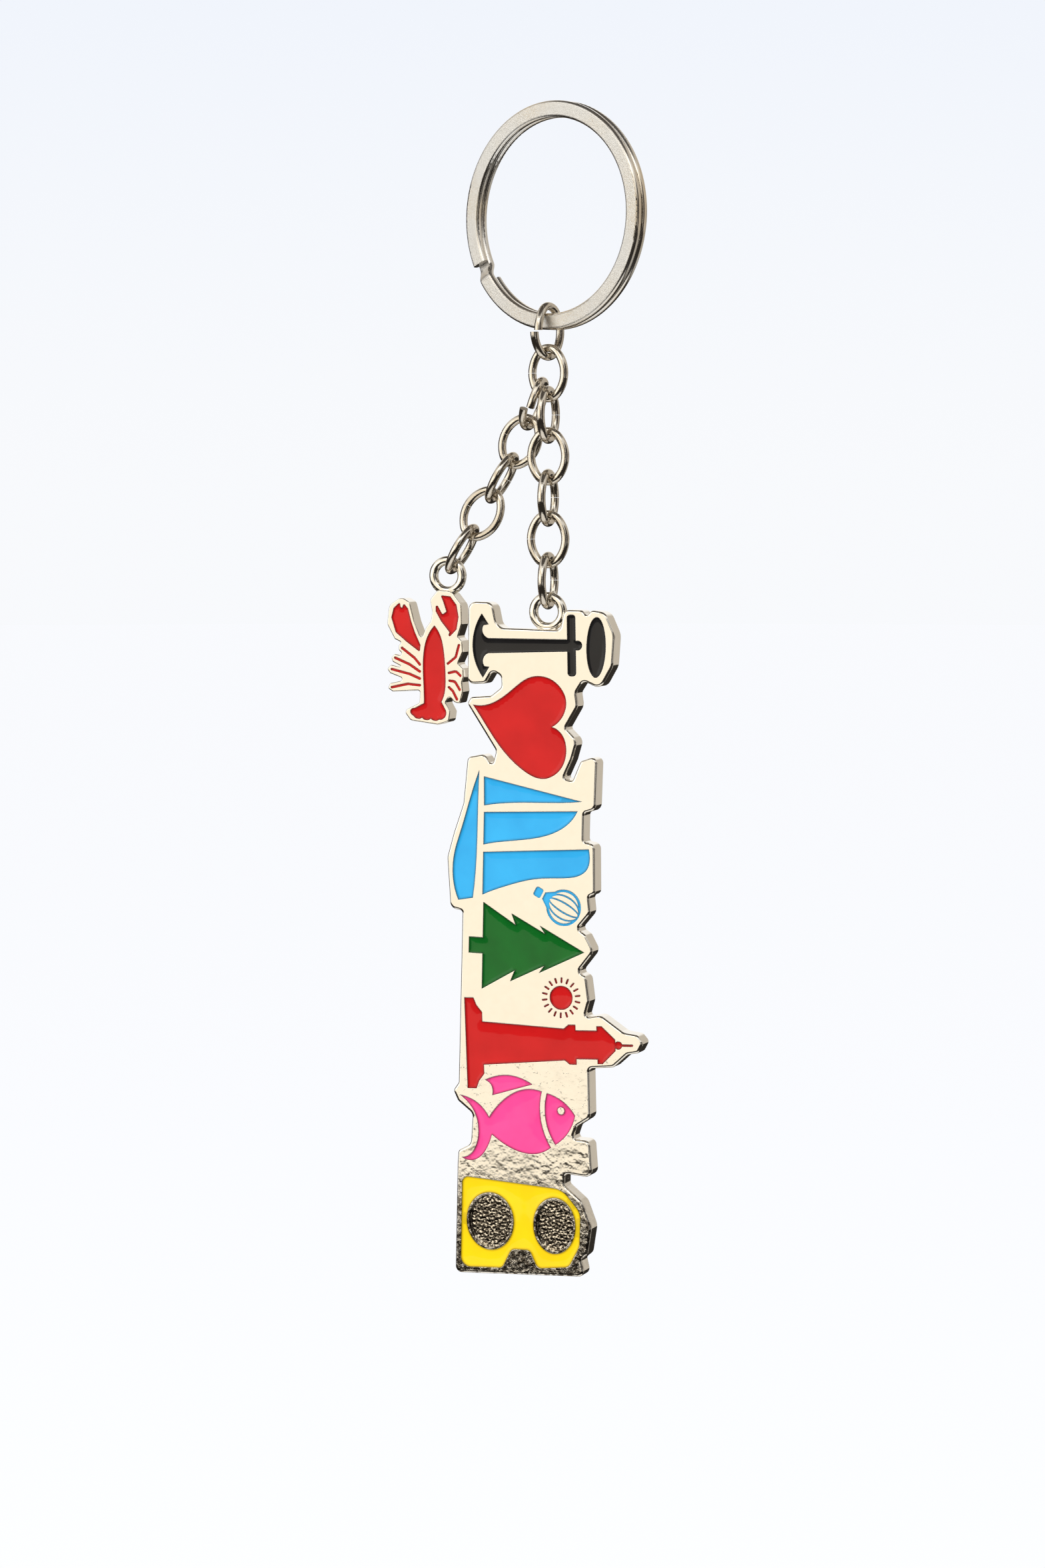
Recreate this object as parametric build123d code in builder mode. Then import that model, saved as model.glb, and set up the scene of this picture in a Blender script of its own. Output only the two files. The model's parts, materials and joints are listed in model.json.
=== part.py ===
from build123d import *
import os
from math import atan2, cos, degrees, radians, sin, sqrt

os.makedirs("parts", exist_ok=True)

# A souvenir keychain that hangs from a split ring. Millimetres and degrees, +Z up. The origin is the
# hang point, the place on the ring's inner top that rests on a hook. The face of the plaque looks to -Y.

# ---- split ring: one flat steel wire wound twice ----
RING_OUTER_R = 15.0
RING_INNER_R = 12.8
COIL_THICK = 1.05
COIL_GAP = 0.06
COIL_EDGE_R = 0.40
RING_YAW = 20.0
RING_SHIFT = 1.15
FRONT_END_ANGLE = 205.0
JOGGLE_START = 206.2
JOGGLE_END = 215.2
BACK_END_ANGLE = 216.6
JOGGLE_STEPS = 6

# ---- chain: oval links bent from round wire ----
WIRE = 1.10
WIRE_R = WIRE / 2
LINK_LENGTH = 7.75
LINK_WIDTH = 6.00
LINK_END_R = 1.90
CONTACT_GAP = 0.05
RING_CONTACT = 1.49
SEAM = 0.05

# ---- cast pieces ----
LUG_MID_R = 2.05
LUG_WIRE_R = 0.62
PLAQUE_THICK = 2.8
CHARM_THICK = 2.6
EDGE_R = 0.35
CHARM_EDGE_R = 0.15
NECK_WIDTH = 2.6
NECK_HEIGHT = 0.9
NECK_DROP = 0.35
NECK_THICK = 1.0
PLAQUE_LEAN = 1.2
RECESS = 0.60
LENS_RECESS = 0.75
ENAMEL_SINK = 0.18

# centreline of an oval link: tangent arcs, small at the ends and large at the sides
HALF_LENGTH = (LINK_LENGTH - WIRE) / 2
HALF_WIDTH = (LINK_WIDTH - WIRE) / 2
END_X = HALF_LENGTH - LINK_END_R
SIDE_R = (END_X**2 + HALF_WIDTH**2 - LINK_END_R**2) / (2 * (HALF_WIDTH - LINK_END_R))
SIDE_X = SIDE_R - HALF_WIDTH
TANGENT = degrees(atan2(END_X, SIDE_X))

UP = Vector(0, 0, 1)


def heading(yaw):
    """Horizontal direction that is +X turned clockwise, seen from above, by yaw."""
    return Vector(cos(radians(yaw)), -sin(radians(yaw)), 0)


def downward(slant, tilt):
    """Hanging direction: slant swings it to -X, tilt swings it to +Y."""
    flat = cos(radians(tilt))
    return Vector(-sin(radians(slant)) * flat, sin(radians(tilt)), -cos(radians(slant)) * flat)


# =====================================================================================
# Split ring
# =====================================================================================
ring_centre = heading(RING_YAW) * RING_SHIFT - UP * sqrt(RING_INNER_R**2 - RING_SHIFT**2)
ring_face = Vector(-sin(radians(RING_YAW)), -cos(radians(RING_YAW)), 0)
ring_plane = Plane(origin=ring_centre, x_dir=heading(RING_YAW), z_dir=ring_face)
ring_axis = Axis(ring_centre, ring_face)
RING_WIDTH = RING_OUTER_R - RING_INNER_R
RING_MID_R = (RING_OUTER_R + RING_INNER_R) / 2
LAYER = (COIL_THICK + COIL_GAP) / 2


def coil_plane(angle, height):
    """Plane across the ring's wire, at an angle round the ring and a height off its middle."""
    radial = ring_plane.x_dir * cos(radians(angle)) + ring_plane.y_dir * sin(radians(angle))
    along = ring_plane.y_dir * cos(radians(angle)) - ring_plane.x_dir * sin(radians(angle))
    return Plane(origin=ring_centre + radial * RING_MID_R + ring_face * height, x_dir=radial, z_dir=along)


with BuildPart() as split_ring:
    with BuildSketch(coil_plane(JOGGLE_END, LAYER)):
        RectangleRounded(RING_WIDTH, COIL_THICK, COIL_EDGE_R)
    revolve(axis=ring_axis, revolution_arc=360 + FRONT_END_ANGLE - JOGGLE_END)
    with BuildSketch(coil_plane(BACK_END_ANGLE, -LAYER)):
        RectangleRounded(RING_WIDTH, COIL_THICK, COIL_EDGE_R)
    revolve(axis=ring_axis, revolution_arc=360 + JOGGLE_START - BACK_END_ANGLE)
    # the step where the wire crosses from the back coil to the front coil
    for step in range(JOGGLE_STEPS + 1):
        part_way = step / JOGGLE_STEPS
        rise = LAYER * (2 * (3 * part_way**2 - 2 * part_way**3) - 1)
        with BuildSketch(coil_plane(JOGGLE_START + (JOGGLE_END - JOGGLE_START) * part_way, rise)):
            RectangleRounded(RING_WIDTH, COIL_THICK, COIL_EDGE_R)
    loft()
split_ring.part.label = "split_ring"
export_step(split_ring.part, "parts/split_ring.step")


# =====================================================================================
# Chain links
# =====================================================================================
def link_plane(apex, down, side, twist=0.0):
    """Plane of a link, origin at its middle, +Y up its length; twist turns it about its length."""
    across = (side - down * side.dot(down)).normalized()
    normal = across.cross(-down)
    turned = across * cos(radians(twist)) - normal * sin(radians(twist))
    return Plane(origin=apex + down * HALF_LENGTH, x_dir=turned, z_dir=turned.cross(-down))


def make_link(name, apex, down, side, seam, twist):
    """A link whose seam is halfway up its -side leg; a twisted link is open there."""
    plane = link_plane(apex, down, side)
    upper = link_plane(apex, down, side, twist)
    lower = link_plane(apex, down, side, -twist)
    half_seam = degrees(seam / 2 / SIDE_R)
    # each arc of the wire: its plane, its centre there, its radius, where it starts and how far it runs
    arcs = [
        (plane, 0, -END_X, LINK_END_R, 270, 90 - TANGENT),
        (plane, -SIDE_X, 0, SIDE_R, -TANGENT, 2 * TANGENT),
        (plane, 0, END_X, LINK_END_R, TANGENT, 90 - TANGENT),
        (upper, 0, END_X, LINK_END_R, 90, 90 - TANGENT),
        (upper, SIDE_X, 0, SIDE_R, 180 - TANGENT, TANGENT - half_seam),
        (lower, SIDE_X, 0, SIDE_R, 180 + half_seam, TANGENT - half_seam),
        (lower, 0, -END_X, LINK_END_R, 180 + TANGENT, 90 - TANGENT),
    ]
    with BuildPart() as link:
        for face, centre_x, centre_y, radius, start, span in arcs:
            centre = face.from_local_coords(Vector(centre_x, centre_y, 0))
            outward = face.x_dir * cos(radians(start)) + face.y_dir * sin(radians(start))
            forward = face.y_dir * cos(radians(start)) - face.x_dir * sin(radians(start))
            with BuildSketch(Plane(origin=centre + outward * radius, x_dir=outward, z_dir=forward)):
                Circle(WIRE_R)
            revolve(axis=Axis(centre, face.z_dir), revolution_arc=span)
    link.part.label = name
    export_step(link.part, f"parts/{name}.step")


def hang_on(apex, down, side, next_down):
    """Where the next link's wire touches a link: the hinge point on this link's wire."""
    plane = link_plane(apex, down, side)
    flat = next_down - plane.z_dir * next_down.dot(plane.z_dir)
    return plane.from_local_coords(Vector(0, -END_X, 0)) + flat.normalized() * LINK_END_R


# Each run: a link's name, the yaw of its width, its slant, tilt, seam and twist.
MAIN_RUN = [
    ("top_jump_link", -70.0, 0.0, 0.0, 0.20, 8.0),
    ("fork_link", 10.0, 0.0, 0.0, SEAM, 0.0),
    ("plaque_link_1", 94.0, 0.0, 0.0, SEAM, 0.0),
    ("plaque_link_2", 2.0, 0.0, 0.0, SEAM, 0.0),
    ("plaque_link_3", 91.0, 0.0, 0.0, SEAM, 0.0),
    ("plaque_link_4", 0.0, 0.0, 0.0, SEAM, 0.0),
    ("plaque_link_5", 90.0, 0.0, 0.0, SEAM, 0.0),
]
CHARM_RUN = [
    ("charm_jump_link", -90.0, 22.0, 15.0, 0.5, 10.0),
    ("charm_link_1", 0.0, 27.0, 0.0, SEAM, 0.0),
    ("charm_link_2", 90.0, 28.0, -7.0, SEAM, 0.0),
    ("charm_link_3", 0.0, 29.0, -7.0, SEAM, 0.0),
    ("charm_link_4", 90.0, 30.0, 0.0, SEAM, 0.0),
]
LUG_CONTACT = WIRE_R + LUG_WIRE_R + CONTACT_GAP
FORK_ANGLE = 21.5


def run_chain(run, first_apex):
    """Places and makes the links of a run; returns each link's place and the hinge point below it."""
    apex = first_apex
    frames = []
    for place, (name, yaw, slant, tilt, seam, twist) in enumerate(run):
        down = downward(slant, tilt)
        side = heading(yaw)
        make_link(name, apex, down, side, seam, twist)
        following = run[place + 1] if place + 1 < len(run) else run[place]
        next_down = downward(following[2], following[3])
        pivot = hang_on(apex, down, side, next_down)
        frames.append({"apex": apex, "down": down, "side": side, "pivot": pivot})
        apex = pivot - next_down * (WIRE + CONTACT_GAP)
    return frames


ring_low = Vector(0, 0, ring_centre.Z - sqrt(RING_MID_R**2 - RING_SHIFT**2))
main_frames = run_chain(MAIN_RUN, ring_low + UP * (RING_CONTACT + WIRE_R))

# The charm's first link hangs beside the plaque's, on the left of the fork link's lower bend.
fork_plane = link_plane(main_frames[1]["apex"], main_frames[1]["down"], main_frames[1]["side"])
fork_out = -fork_plane.x_dir * cos(radians(FORK_ANGLE)) - fork_plane.y_dir * sin(radians(FORK_ANGLE))
fork_centre = fork_plane.from_local_coords(Vector(SIDE_X, 0, 0))
fork_pivot = fork_centre + fork_out * SIDE_R
charm_frames = run_chain(CHARM_RUN, fork_pivot - fork_out * (WIRE + CONTACT_GAP))


# =====================================================================================
# Plaque: a die-cast plate with recessed cells, on a round lug
# =====================================================================================
def lug_centre_below(frame, down):
    """Centre of a lug that hangs on the last link of a run, and the hinge point on that link."""
    return frame["pivot"] + down * (LUG_MID_R - LUG_CONTACT)


def lug_section(centre):
    """Plane across the wire of a lug that stands on edge, its hole along Y."""
    return Plane(origin=centre + Vector(LUG_MID_R, 0, 0), x_dir=(1, 0, 0), z_dir=(0, 0, -1))


plaque_lug = lug_centre_below(main_frames[-1], -UP)
plaque_right = Vector(cos(radians(PLAQUE_LEAN)), 0, -sin(radians(PLAQUE_LEAN)))


def plaque_plane(u=0.0, v=0.0, turn=0.0, depth=0.0):
    """Plane on the plaque's front, u across and v up from the lug's centre, sunk by depth."""
    face = Plane(origin=plaque_lug - Vector(0, PLAQUE_THICK / 2, 0), x_dir=plaque_right, z_dir=(0, -1, 0))
    spot = face.from_local_coords(Vector(u, v, -depth))
    return Plane(origin=spot, x_dir=face.x_dir.rotate(Axis((0, 0, 0), face.z_dir), turn), z_dir=face.z_dir)


# Corners of the plate's outline, clockwise from the top left, each with its corner radius.
PLAQUE_OUTLINE = [
    (-11.0, 1.05, 1.1), (-7.5, 1.05, 1.2), (-6.7, -2.35, 1.3), (2.2, -2.35, 0.7), (2.7, 0.40, 0.9),
    (5.3, 0.40, 0.6), (5.9, -0.30, 0.3), (6.6, 0.45, 0.7), (8.6, 0.25, 1.5), (10.0, -2.7, 2.2),
    (9.8, -6.9, 2.2), (8.1, -10.0, 1.2), (5.7, -9.0, 0.6), (4.7, -10.6, 0.8), (5.0, -12.4, 1.5),
    (3.3, -15.4, 0.4), (5.0, -17.0, 1.2), (4.3, -19.6, 0.4), (3.2, -22.1, 0.3), (4.4, -22.4, 0.3),
    (5.5, -19.7, 0.6), (7.9, -18.8, 0.8), (7.8, -26.1, 1.0), (6.2, -26.6, 0.5), (6.2, -30.5, 0.5),
    (7.8, -30.7, 0.9), (8.0, -37.4, 0.6), (7.1, -37.7, 0.5), (7.4, -40.0, 1.1), (5.6, -42.2, 0.5),
    (6.8, -43.0, 0.7), (8.0, -45.1, 1.1), (5.8, -48.0, 0.5), (7.0, -48.6, 0.9), (7.5, -51.8, 1.2),
    (6.9, -54.1, 0.4), (9.1, -53.6, 1.2), (12.4, -55.7, 1.4), (14.4, -55.9, 0.8), (15.3, -56.9, 0.7),
    (14.6, -58.3, 0.7), (13.1, -58.6, 0.9), (11.1, -60.5, 1.1), (7.7, -60.9, 0.5), (8.0, -67.6, 1.0),
    (6.1, -68.9, 0.7), (5.5, -70.7, 0.5), (8.0, -70.7, 0.9), (8.5, -75.7, 1.0), (4.5, -75.5, 0.5),
    (4.5, -77.1, 0.5), (7.1, -79.1, 1.6), (8.5, -82.5, 1.8), (8.0, -86.2, 0.9), (7.1, -87.0, 0.4),
    (7.7, -89.3, 0.8), (-11.1, -90.5, 0.9), (-11.1, -75.6, 0.5), (-11.0, -73.6, 0.6),
    (-9.2, -72.6, 1.0), (-9.0, -68.4, 1.0), (-11.2, -66.8, 0.6), (-11.9, -65.4, 0.6),
    (-11.15, -64.3, 0.4), (-11.05, -40.8, 0.4), (-12.8, -40.5, 1.0), (-13.4, -33.6, 1.6),
    (-12.5, -30.2, 1.5), (-11.2, -26.2, 1.5), (-10.7, -19.9, 0.7), (-8.3, -19.4, 0.8),
    (-7.1, -20.9, 0.3), (-6.6, -18.9, 0.8), (-10.9, -12.7, 0.6), (-10.4, -11.8, 0.6),
    (-7.5, -11.5, 0.7), (-6.0, -10.3, 0.7), (-6.1, -8.8, 0.7), (-7.3, -8.2, 0.6),
    (-8.3, -9.9, 0.7), (-10.9, -10.1, 0.9),
]


def draw_outline(corners):
    """Closed outline with rounded corners."""
    with BuildSketch() as drawn:
        points = [(u, v) for u, v, radius in corners]
        radii = [radius for u, v, radius in corners]
        with BuildLine():
            FilletPolyline(*points, radius=radii, close=True)
        make_face()
    return drawn.sketch


def draw_anchor():
    """Anchor, crown at the origin and shank along +X."""
    with BuildSketch() as drawn:
        for way in (1, -1):
            with BuildLine():
                ThreePointArc((0.0, 0.0), (0.45, 2.5 * way), (1.4, 4.30 * way))
                Line((1.4, 4.30 * way), (2.35, 2.85 * way))
                Line((2.35, 2.85 * way), (1.65, 2.75 * way))
                ThreePointArc((1.65, 2.75 * way), (1.5, 1.75 * way), (2.3, 1.0 * way))
                Line((2.3, 1.0 * way), (14.0, 0.80 * way))
                Line((14.0, 0.80 * way), (14.0, 0.0))
                Line((14.0, 0.0), (0.0, 0.0))
            make_face()
        with Locations((14.15, 0)):
            RectangleRounded(1.2, 8.2, 0.45)
        with Locations((15.0, 0)):
            Circle(0.65)
    return drawn.sketch


def draw_float():
    """Long oval float beside the anchor's ring."""
    with BuildSketch() as drawn:
        Ellipse(1.36, 4.02)
    return drawn.sketch


def draw_heart():
    """Heart lying on its side, point at -X."""
    with BuildSketch() as drawn:
        with BuildLine():
            Spline((0, 0), (3.2, 0.55), (5.7, 2.35), (8.1, 4.0), (10.2, 4.15), (12.4, 2.9), (13.35, 0.9),
                   (12.8, -1.2), (11.4, -2.5))
            Spline((11.4, -2.5), (13.0, -3.7), (13.5, -5.9), (12.6, -8.3), (10.4, -9.5), (7.4, -8.5),
                   (3.7, -5.1), (0, 0))
        make_face()
    return drawn.sketch


def draw_sailboat():
    """Hull and three sails of a boat whose masts point to +X."""
    with BuildSketch() as drawn:
        with BuildLine():
            Spline((-8.9, -21.6), (-9.9, -24.6), (-11.3, -29.5), (-12.4, -33.6), (-12.2, -37.6), (-11.6, -39.3))
            Line((-11.6, -39.3), (-9.5, -38.9))
            Spline((-9.5, -38.9), (-9.1, -34.0), (-9.0, -28.0), (-8.9, -21.6))
        make_face()
        with BuildLine():
            Line((-8.2, -22.4), (5.9, -25.1))
            Spline((5.9, -25.1), (0.6, -25.5), (-3.6, -25.7), (-8.1, -26.3))
            Line((-8.1, -26.3), (-8.2, -22.4))
        make_face()
        with BuildLine():
            Line((-8.1, -27.2), (5.3, -26.4))
            Spline((5.3, -26.4), (4.0, -28.2), (-1.0, -30.4), (-8.1, -31.6))
            Line((-8.1, -31.6), (-8.1, -27.2))
        make_face()
        with BuildLine():
            Line((-8.1, -32.6), (7.0, -31.4))
            Spline((7.0, -31.4), (6.6, -34.4), (0.4, -35.7), (-4.4, -36.9), (-8.1, -38.4))
            Line((-8.1, -38.4), (-8.1, -32.6))
        make_face()
    return drawn.sketch


def draw_balloon():
    """Balloon outline with its gores and basket; the crown is at +X."""
    with BuildSketch() as drawn:
        for across, line in ((2.45, 0.33), (1.62, 0.20), (0.72, 0.20)):
            Ellipse(2.45, across)
            Ellipse(2.45 - line, across - line, mode=Mode.SUBTRACT)
        with BuildLine():
            Polyline((-1.6, 1.6), (-3.2, 0.5), (-3.2, -0.5), (-1.6, -1.6), (-2.3, 0.0), (-1.6, 1.6))
        make_face()
        with Locations((-4.1, 0)):
            RectangleRounded(1.1, 1.3, 0.25)
    return drawn.sketch


def draw_pine():
    """Pine with three tiers, trunk at -X and tip at +X."""
    with BuildSketch() as drawn:
        upper = [(0.0, 1.1), (2.0, 1.1), (2.0, 5.9), (6.7, 3.1), (6.1, 4.6), (10.9, 2.2), (10.2, 3.2)]
        lower = [(x, -y) for x, y in reversed(upper)]
        with BuildLine():
            Polyline(*upper, (16.6, 0.0), *lower, close=True)
        make_face()
    return drawn.sketch


def draw_sun():
    """Sun disc."""
    with BuildSketch() as drawn:
        Circle(1.62)
    return drawn.sketch


def draw_rays():
    """Rays round the sun disc."""
    with BuildSketch() as drawn:
        with PolarLocations(2.38, 18):
            SlotOverall(0.78, 0.24)
    return drawn.sketch


def draw_lighthouse():
    """Lighthouse, base at the origin and spire along +X."""
    with BuildSketch() as drawn:
        upper = [(0.0, 6.2), (1.3, 6.2), (1.7, 5.2), (2.5, 4.2), (2.5, 2.95), (14.2, 2.15), (14.9, 2.7),
                 (15.9, 2.7), (15.9, 1.95), (18.9, 1.95), (18.9, 2.55), (19.6, 2.55), (21.5, 0.75), (21.5, 0.3)]
        lower = [(x, -y) for x, y in reversed(upper)]
        with BuildLine():
            Polyline(*upper, *lower, close=True)
        make_face()
        with Locations((21.9, 0)):
            Circle(0.55)
        with Locations((22.9, 0)):
            SlotOverall(2.2, 0.3)
    return drawn.sketch


def draw_fish():
    """Fish swimming to +X: head, body with tail, and two fins, with the eye left as metal."""
    with BuildSketch() as drawn:
        with BuildLine():
            Spline((8.0, 0.0), (6.6, 2.1), (4.5, 3.5))
            ThreePointArc((4.5, 3.5), (3.7, 0.0), (4.5, -3.6))
            Spline((4.5, -3.6), (6.6, -2.2), (8.0, 0.0))
        make_face()
        with Locations((6.1, 0.9)):
            Circle(0.5, mode=Mode.SUBTRACT)
        with BuildLine():
            Spline((3.8, 3.8), (0.6, 4.3), (-2.4, 3.0), (-4.4, 1.2))
            Spline((-4.4, 1.2), (-5.6, 3.2), (-8.1, 4.7))
            Spline((-8.1, 4.7), (-7.0, 3.4), (-6.3, 1.8), (-6.2, 0.0))
            Spline((-6.2, 0.0), (-6.7, -2.0), (-7.7, -3.3), (-9.3, -3.8))
            Spline((-9.3, -3.8), (-7.0, -4.2), (-5.4, -2.9), (-4.4, -1.2))
            Spline((-4.4, -1.2), (-2.4, -3.0), (0.6, -4.4), (3.8, -3.9))
            ThreePointArc((3.8, -3.9), (3.0, 0.0), (3.8, 3.8))
        make_face()
        with BuildLine():
            Line((2.6, 4.9), (-3.4, 4.1))
            Spline((-3.4, 4.1), (-3.3, 5.4), (-4.1, 6.3))
            Spline((-4.1, 6.3), (-0.4, 6.5), (2.6, 4.9))
        make_face()
    return drawn.sketch


GOGGLES_OUTLINE = [
    (-10.3, -77.0, 0.9), (4.2, -77.6, 3.0), (6.9, -80.6, 2.0), (6.9, -85.2, 2.0), (5.4, -88.2, 1.2),
    (0.9, -88.8, 0.9), (-0.3, -86.4, 0.8), (-2.9, -86.5, 0.8), (-4.2, -89.2, 0.9), (-10.3, -89.6, 1.4),
]
# each lens well: its centre and its half width and half height
LENSES = [(-6.1, -82.9, 3.1, 3.6), (3.2, -82.7, 2.7, 3.5)]
LENS_WALL = 0.3


def draw_lenses(margin=0.0):
    """The goggles' two oval lens wells, widened by margin."""
    with BuildSketch() as drawn:
        for u, v, across, tall in LENSES:
            with Locations((u, v)):
                Ellipse(across + margin, tall + margin)
    return drawn.sketch


def draw_goggles():
    """Swimming goggles: one frame round two lenses, with a nose notch below."""
    frame = draw_outline(GOGGLES_OUTLINE)
    lenses = draw_lenses(LENS_WALL)
    with BuildSketch() as drawn:
        add(frame)
        add(lenses, mode=Mode.SUBTRACT)
    return drawn.sketch


# Each enamel colour cell: node name, how it is drawn, and where its own frame lies on the plaque.
CELLS = [
    ("anchor_enamel", draw_anchor, (-10.2, -4.87, 2.2)),
    ("float_enamel", draw_float, (7.42, -4.45, 0.0)),
    ("heart_enamel", draw_heart, (-10.0, -12.8, 0.0)),
    ("sailboat_enamel", draw_sailboat, (0.0, 0.0, 0.0)),
    ("balloon_enamel", draw_balloon, (3.6, -39.45, -27.0)),
    ("pine_enamel", draw_pine, (-9.95, -45.3, 0.0)),
    ("sun_enamel", draw_sun, (3.51, -51.62, 0.0)),
    ("sun_ray_enamel", draw_rays, (3.51, -51.62, 10.0)),
    ("lighthouse_enamel", draw_lighthouse, (-10.1, -58.75, 3.4)),
    ("fish_enamel", draw_fish, (-2.0, -69.0, 11.0)),
    ("goggles_enamel", draw_goggles, (0.0, 0.0, 0.0)),
]

with BuildPart() as plaque_base:
    with BuildSketch(plaque_plane()):
        add(draw_outline(PLAQUE_OUTLINE))
    extrude(amount=-PLAQUE_THICK)
    rims = plaque_base.faces().filter_by(Axis.Y).edges()
    fillet(rims, EDGE_R)
    with BuildSketch(lug_section(plaque_lug)):
        Circle(LUG_WIRE_R)
    revolve(axis=Axis(plaque_lug, (0, 1, 0)))
    # the neck that joins the lug to the plate
    with BuildSketch(Plane(origin=plaque_lug, x_dir=plaque_right, z_dir=(0, -1, 0))):
        with Locations((0, -LUG_MID_R - NECK_DROP)):
            Rectangle(NECK_WIDTH, NECK_HEIGHT)
    extrude(amount=NECK_THICK / 2, both=True)
    for name, draw, spot in CELLS:
        with BuildSketch(plaque_plane(*spot)):
            add(draw())
        extrude(amount=-RECESS, mode=Mode.SUBTRACT)
    with BuildSketch(plaque_plane()):
        add(draw_lenses())
    extrude(amount=-LENS_RECESS, mode=Mode.SUBTRACT)
plaque_base.part.label = "plaque_base"
export_step(plaque_base.part, "parts/plaque_base.step")

for name, draw, spot in CELLS:
    with BuildPart() as enamel:
        with BuildSketch(plaque_plane(*spot, depth=RECESS)):
            add(draw())
        extrude(amount=RECESS - ENAMEL_SINK)
    enamel.part.label = name
    export_step(enamel.part, f"parts/{name}.step")


# =====================================================================================
# Lobster charm: the same construction, smaller
# =====================================================================================
charm_down = downward(CHARM_RUN[-1][2], CHARM_RUN[-1][3])
charm_lug = lug_centre_below(charm_frames[-1], charm_down)


def charm_plane(depth=0.0):
    """Plane on the lobster's front, u across and v up from its lug's centre, sunk by depth."""
    return Plane(origin=charm_lug + Vector(0, depth - CHARM_THICK / 2, 0), x_dir=(1, 0, 0), z_dir=(0, -1, 0))


CHARM_OUTLINE = [
    (-7.3, -8.6, 0.4), (-8.4, -6.6, 0.9), (-8.1, -4.0, 1.2), (-6.3, -2.9, 1.0), (-5.1, -3.6, 0.8),
    (-4.4, -6.2, 1.0), (-3.4, -8.6, 0.25), (-2.7, -7.0, 0.5), (-2.0, -6.1, 0.4), (-1.8, -4.9, 0.4),
    (-2.1, -3.2, 0.6), (-1.0, -1.9, 0.6), (1.0, -2.1, 0.8), (2.45, -3.9, 1.2), (2.5, -6.4, 1.0),
    (1.9, -8.2, 0.3), (2.55, -8.8, 0.5), (2.65, -10.2, 0.6), (1.9, -11.8, 0.3), (2.7, -12.5, 0.4),
    (2.75, -13.6, 0.3), (2.5, -14.3, 0.2), (2.65, -15.5, 0.4), (2.2, -17.2, 0.35), (1.4, -17.0, 0.3),
    (0.7, -16.2, 0.3), (0.1, -17.1, 0.3), (0.8, -18.3, 0.5), (0.6, -19.6, 0.5), (-1.0, -20.1, 0.5),
    (-5.0, -19.6, 0.7), (-6.0, -18.3, 0.5), (-3.7, -17.2, 0.4), (-3.6, -15.5, 0.3), (-7.6, -15.75, 0.3),
    (-8.3, -15.3, 0.25), (-8.0, -14.6, 0.3), (-5.6, -14.1, 0.25), (-8.0, -13.25, 0.3),
    (-8.4, -12.7, 0.25), (-7.9, -12.1, 0.3), (-5.7, -12.6, 0.10), (-7.6, -11.7, 0.25),
    (-7.8, -11.1, 0.25), (-7.3, -10.6, 0.25), (-5.6, -11.1, 0.25), (-6.7, -10.1, 0.25),
    (-6.7, -9.4, 0.25), (-6.2, -9.1, 0.2),
]
CLAWS = [
    [(-3.6, -10.3), (-5.6, -8.9), (-7.1, -7.7), (-7.75, -5.7), (-7.4, -4.4), (-6.5, -3.6),
     (-6.3, -4.9), (-5.95, -3.75), (-5.3, -4.5), (-4.85, -6.2), (-4.3, -7.7), (-3.5, -9.4)],
    [(0.3, -8.6), (0.75, -7.6), (-0.5, -6.1), (-1.25, -4.8), (-1.25, -3.6), (-0.3, -5.2), (0.3, -4.8),
     (-0.15, -3.5), (-0.55, -2.6), (0.85, -2.75), (1.75, -3.9), (2.05, -5.5), (1.75, -7.2), (0.95, -8.0)],
]
LEG_WIDTH = 0.34
LEGS = [
    [(-3.6, -12.0), (-4.4, -11.1), (-6.2, -9.8)],
    [(-3.6, -12.95), (-5.1, -12.0), (-7.2, -11.15)],
    [(-3.6, -13.9), (-5.1, -13.3), (-7.7, -12.7)],
    [(-3.6, -14.8), (-5.4, -14.65), (-7.7, -15.15)],
    [(0.5, -11.8), (1.65, -10.9), (2.1, -9.3)],
    [(0.65, -13.05), (1.65, -12.8), (2.3, -13.4)],
    [(0.75, -14.1), (1.5, -14.2), (2.2, -15.3)],
    [(0.65, -15.0), (1.2, -15.5), (1.8, -16.6)],
]


def draw_lobster_body():
    """Shell and tail of the lobster, with a scalloped tail fan."""
    with BuildSketch() as drawn:
        with BuildLine():
            Spline((-1.46, -6.7), (-0.55, -8.2), (-0.05, -10.6), (0.15, -13.8), (-0.1, -16.2), (-0.45, -17.0))
            Line((-0.45, -17.0), (0.1, -18.0))
            ThreePointArc((0.1, -18.0), (0.15, -18.9), (-0.8, -19.4))
            ThreePointArc((-0.8, -19.4), (-1.5, -19.55), (-2.0, -19.3))
            ThreePointArc((-2.0, -19.3), (-2.7, -19.5), (-3.3, -19.2))
            ThreePointArc((-3.3, -19.2), (-4.1, -19.3), (-4.6, -18.9))
            ThreePointArc((-4.6, -18.9), (-5.0, -18.4), (-4.4, -17.9))
            Line((-4.4, -17.9), (-3.0, -17.2))
            Spline((-3.0, -17.2), (-3.05, -14.8), (-3.1, -11.0), (-2.7, -8.8), (-1.46, -6.7))
        make_face()
    return drawn.sketch


def draw_claws():
    """Both claws, each with its arm."""
    with BuildSketch() as drawn:
        for points in CLAWS:
            with BuildLine():
                FilletPolyline(*points, radius=0.16, close=True)
            make_face()
    return drawn.sketch


def draw_legs():
    """Eight thin walking legs."""
    with BuildSketch() as drawn:
        for points in LEGS:
            with BuildLine():
                FilletPolyline(*points, radius=0.5)
                offset(amount=LEG_WIDTH / 2, side=Side.BOTH)
            make_face()
    return drawn.sketch


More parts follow.
